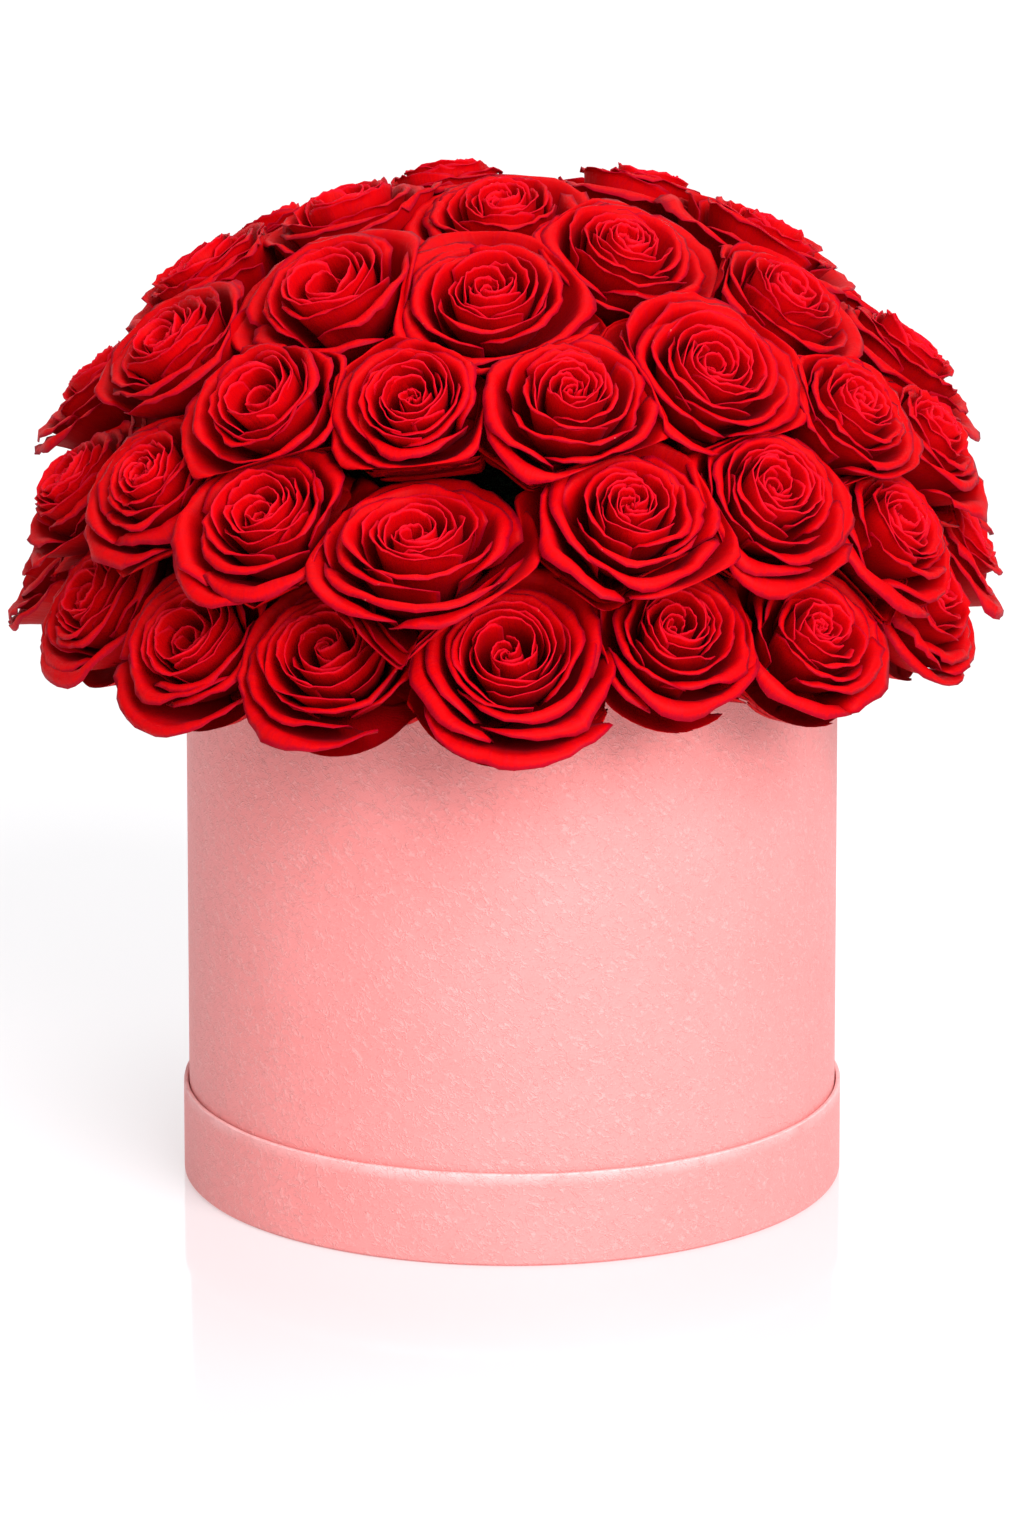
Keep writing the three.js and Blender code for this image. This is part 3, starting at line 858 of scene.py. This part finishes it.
def placedBlooms():
    blooms = []
    for row, places in bloomRows.items():
        for index, (turn, rise, radius, look, extra) in enumerate(places):
            middle = domePoint(turn, rise)
            tilt = domeSizes["rimTilt"] + domeSizes["tiltPerRise"] * max(rise, 0)
            axis = outward(turn, tilt)
            stemTilt = domeSizes["rimStemTilt"] if row == "rim" else tilt
            face = outward(turn, min(tilt + extra, domeSizes["steepest"]))
            name = f"rose_{row}_{index + 1:02d}" if len(places) > 1 else f"rose_{row}"
            blooms.append({
                "name": name, "radius": radius * mm, "middle": middle, "look": look, "rise": rise,
                "axis": face, "foot": middle - face * bloomSizes["Bloom depth"],
                "calyx": middle - axis * bloomSizes["Bloom depth"],
                "stemWay": outward(turn, stemTilt), "seed": len(blooms) + 1,
            })
    return blooms


# Neighbours nearer than reach times their radii press on each other. Sizes are in metres
pressing = {
    "reach": 1.35, "wave": 0.0020, "waveCount": 80, "lean": 0.38, "leanFrom": -0.02, "leanTo": 0.012,
    "slope": 0.25, "over": 0.0075, "overFrom": 0.014, "overBand": 0.016, "under": 0.003, "give": 0.0022,
    "soft": 0.0045, "softness": 1.3,
}


# A wavy wall that two neighbours share: each bloom's petals flatten softly as they come near it, so that they
# press on each other, and lean one over the other, without passing through
def pressAgainst(points, bloom, other):
    first = bloom["seed"] < other["seed"]
    low, high = (bloom, other) if first else (other, bloom)
    along = np.array(other["middle"] - bloom["middle"])
    gap = np.linalg.norm(along)
    along /= gap
    share = bloom["radius"] / (bloom["radius"] + other["radius"])
    outAxis = np.array((low["axis"] + high["axis"]).normalized())
    centre = np.array(low["middle"] + (high["middle"] - low["middle"])
                      * (low["radius"] / (low["radius"] + high["radius"])))
    relative = points - centre
    proud = relative @ outAxis
    cross = relative @ np.cross(along if first else -along, outAxis)
    key = low["seed"] * 7.3 + high["seed"] * 3.1
    wave = pressing["wave"] * np.sin(cross * pressing["waveCount"] + key)
    shift = wave + math.sin(key) * pressing["lean"] * np.clip(proud, pressing["leanFrom"], pressing["leanTo"])
    rising = (low["middle"].z - high["middle"].z) / gap  # the upper bloom's face lies over the lower one's
    if abs(rising) > pressing["slope"]:
        height = np.clip((proud + pressing["overFrom"]) / pressing["overBand"], 0, 1)
        shift = wave * 0.5 + math.copysign(1, rising) * (pressing["over"] * height - pressing["under"])
    limit = gap * share + (shift if first else -shift) + pressing["give"]
    soft = pressing["soft"]
    depth = (points - np.array(bloom["middle"])) @ along
    over = depth - (limit - soft)
    squeezed = limit - soft + soft * np.tanh(np.maximum(over, 0) / (soft * pressing["softness"]))
    return points + np.where(over > 0, np.minimum(squeezed - depth, 0), 0)[:, None] * along


# Blooms that rise less than this many degrees are at the rim. The cup narrows towards the calyx
curling = {"below": 9, "reach": 1.17, "reachPerRise": 0.045, "sides": 0.7, "cupFrom": 0.008, "cupSlope": 20,
           "narrowest": 0.32, "soft": 0.006}


# The petals of a rim bloom have no neighbour below them, and curl in round its own outline there
def curlBelow(points, bloom):
    axis = np.array(bloom["axis"])
    down = np.array([0.0, 0.0, -1.0])
    down -= axis * (down @ axis)
    down /= np.linalg.norm(down)
    relative = points - np.array(bloom["middle"])
    height = relative @ axis
    flat = relative - height[:, None] * axis
    reach = np.linalg.norm(flat, axis=1) + 1e-9
    facing = np.clip(((flat @ down) / reach + 0.35) / 0.75, 0, 1)
    cup = np.clip(1.0 + (height + curling["cupFrom"]) * curling["cupSlope"], curling["narrowest"], 1.0)
    longer = curling["reach"] + curling["reachPerRise"] * max(bloom["rise"], 0)  # set higher, hangs lower
    limit = bloom["radius"] * (longer * cup + curling["sides"] * (1 - facing))
    soft = curling["soft"]
    over = np.maximum(reach - (limit - soft), 0)
    held = np.where(over > 0, limit - soft + soft * np.tanh(over / soft), reach)
    return points + flat * (held / reach - 1)[:, None]


def roseBlooms(blooms):
    tree = bloomTree()
    draw = np.random.default_rng(41)
    for bloom in blooms:
        look = heartLooks[bloom["look"]]
        draws = zip(bloomDraws.items(), draw.random(len(bloomDraws)))
        values = {**look, **{label: base + more * share for (label, (base, more)), share in draws}}
        values["Bloom radius"] *= bloom["radius"]
        values["Petals"] = look["Petals"] + bloomSizes["Collar"] + math.floor(values["Petals"])
        values["Seed"] = bloom["seed"]
        mesh = meshFromTree(tree, bloom["name"], values, petalThickness)
        points = np.empty(len(mesh.vertices) * 3)
        mesh.vertices.foreach_get("co", points)
        turned = Vector((0, 0, 1)).rotation_difference(bloom["axis"]).to_matrix()
        spin = Matrix.Rotation(draw.random() * 2 * math.pi, 3, "Z")
        points = points.reshape(-1, 3) @ np.array(turned @ spin).T + np.array(bloom["foot"])
        for other in blooms:
            apart = (bloom["middle"] - other["middle"]).length
            if other is not bloom and apart < (bloom["radius"] + other["radius"]) * pressing["reach"]:
                points = pressAgainst(points, bloom, other)
        if bloom["rise"] < curling["below"]:
            points = curlBelow(points, bloom)
        mesh.vertices.foreach_set("co", points.ravel())
        mesh.update()
        made = placed(bloom["name"] + "_petals", mesh)
        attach(made, "arrangement")
        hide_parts(bloom["name"])


# Faces of a closed skin over rings of points that follow each other
def ringFaces(stations, sides):
    faces = [(*range(sides)[::-1],), tuple((stations - 1) * sides + turn for turn in range(sides))]
    for low in range(0, (stations - 1) * sides, sides):
        for turn in range(sides):
            after = (turn + 1) % sides
            faces.append((low + turn, low + after, low + sides + after, low + sides + turn))
    return faces


# Tube along a path, its ends closed, as points and faces
def tubeAlong(path, radii, sides=9):
    points = []
    side = (path[1] - path[0]).cross(Vector((0.3, 0.2, 1))).normalized()
    for index, point in enumerate(path):
        ahead = (path[min(index + 1, len(path) - 1)] - path[max(index - 1, 0)]).normalized()
        side = (side - ahead * side.dot(ahead)).normalized()
        other = ahead.cross(side)
        for turn in range(sides):
            angle = 2 * math.pi * turn / sides
            points.append(point + (side * math.cos(angle) + other * math.sin(angle)) * radii[index])
    return points, ringFaces(len(path), sides)


sepalSizes = {
    "perBloom": 5, "length": (0.005, 0.002), "halfWidth": 0.0034, "edge": 0.0003, "thicker": 0.0004,
    "droop": 0.55, "offset": 0.003, "turnJitter": 0.4,
}


# A narrow leaf blade that leaves the calyx, as a thin closed wedge
def sepalBlade(foot, axis, out, length):
    across = axis.cross(out).normalized()
    points, stations = [], 6
    for index in range(stations):
        share = index / (stations - 1)
        reach = length * (0.25 + 0.75 * math.sin(share * 1.4))
        spine = foot + out * reach - axis * (length * sepalSizes["droop"] * share ** 2)
        half = sepalSizes["halfWidth"] * math.sin(math.pi * min(0.12 + share * 0.86, 0.985))
        thick = sepalSizes["edge"] + sepalSizes["thicker"] * (1 - share)
        for offset in (across * half, axis * thick, across * -half, axis * -thick):
            points.append(spine + offset)
    return points, ringFaces(stations, 4)


def cutStems(blooms):
    size = domeSizes
    sepals, (shortest, longer) = sepalSizes["perBloom"], sepalSizes["length"]
    draw = np.random.default_rng(17)
    points, faces = [], []
    for bloom in blooms:
        start = bloom["foot"] + bloom["axis"] * size["calyx"]
        bend = bloom["calyx"] - bloom["stemWay"] * (size["stemLength"] * 0.2)
        end = bloom["calyx"] - bloom["stemWay"] * size["stemLength"]
        path = [start * (1 - t) ** 2 + bend * 2 * t * (1 - t) + end * t ** 2 for t in np.linspace(0, 1, 14)]
        radii = [size["stemRadius"] * (1.9 - 0.95 * min(index / 2.0, 1.0)) for index in range(len(path))]
        parts = [tubeAlong(path, radii)]
        side = bloom["axis"].cross(Vector((0.2, 0.1, 1))).normalized()
        for count in range(sepals):
            turn = 2 * math.pi * count / sepals + draw.random() * sepalSizes["turnJitter"]
            way = Matrix.Rotation(turn, 3, bloom["axis"]) @ side
            parts.append(sepalBlade(bloom["foot"] + way * sepalSizes["offset"], bloom["axis"], way,
                                    shortest + longer * draw.random()))
        for newPoints, newFaces in parts:
            base = len(points)
            points += newPoints
            faces += [tuple(base + corner for corner in face) for face in newFaces]
    mesh = bpy.data.meshes.new("cutStems")
    mesh.from_pydata([tuple(point) for point in points], [], faces)
    mesh.materials.append(stalkSkin)
    made = finishMesh("cutStems", mesh, 0.9)
    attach(made, "arrangement")


blooms = placedBlooms()
roseBlooms(blooms)
cutStems(blooms)
print("roses made:", len(blooms))

studio = {
    "floorReach": 40.0, "floorDrop": 0.0002, "tableShade": (0.45, 0.445, 0.46), "tableLight": (0.47, 0.465, 0.48),
    "tableGlow": 0.43, "glowTint": (1.0, 0.99, 1.0, 1.0), "world": 0.36, "seenWorld": 1.12, "aim": (0, 0, 0.2),
}
lamps = {
    "keyLight": {"place": (1.25, -2.8, 2.05), "width": 2.4, "power": 176.0},
    "fillLight": {"place": (-2.6, -2.2, 1.6), "width": 2.2, "power": 14.0},
    "topLight": {"place": (0.2, 0.6, 3.4), "width": 2.4, "power": 48.0},
}


# Seamless white table, slightly polished
def whiteTable():
    material, tree, shader = newMaterial("whiteTable", 0.07, 0.6)
    tones = tonesOn(tree, objectPoint(tree), 0.6, 3.0, 30.0)
    plug(tree, mixed(tones["Cloud"], studio["tableShade"], studio["tableLight"]), shader.inputs["Base Color"])
    shader.inputs["Emission Color"].default_value = studio["glowTint"]
    shader.inputs["Emission Strength"].default_value = studio["tableGlow"]
    mesh = bpy.data.meshes.new("whiteTable")
    far = studio["floorReach"]
    mesh.from_pydata([(-far, -far, 0), (far, -far, 0), (far, far, 0), (-far, far, 0)], [], [(0, 1, 2, 3)])
    mesh.materials.append(material)
    table = placed("whiteTable", mesh)
    table.location.z = -studio["floorDrop"]


def softLight(name, place, width, power):
    light = bpy.data.lights.new(name, "AREA")
    light.shape = "DISK"
    light.size = width
    light.energy = power
    holder = placed(name, light)
    holder.location = place
    holder.rotation_euler = (Vector(studio["aim"]) - Vector(place)).to_track_quat("-Z", "Y").to_euler()


# White surround that lights the object less than it shows
def whiteWorld():
    world = bpy.data.worlds.new("whiteWorld")
    world.use_nodes = True
    tree = world.node_tree
    background = next(node for node in tree.nodes if node.type == "BACKGROUND")
    background.inputs["Color"].default_value = (1, 1, 1, 1)
    path = tree.nodes.new("ShaderNodeLightPath")
    seen = calc("MAXIMUM", Wire(tree, path.outputs["Is Camera Ray"]), Wire(tree, path.outputs["Is Glossy Ray"]))
    plug(tree, between(studio["world"], studio["seenWorld"], seen), background.inputs["Strength"])
    bpy.context.scene.world = world


whiteTable()
whiteWorld()
for lampName, lamp in lamps.items():
    softLight(lampName, **lamp)
print("table and lights made")
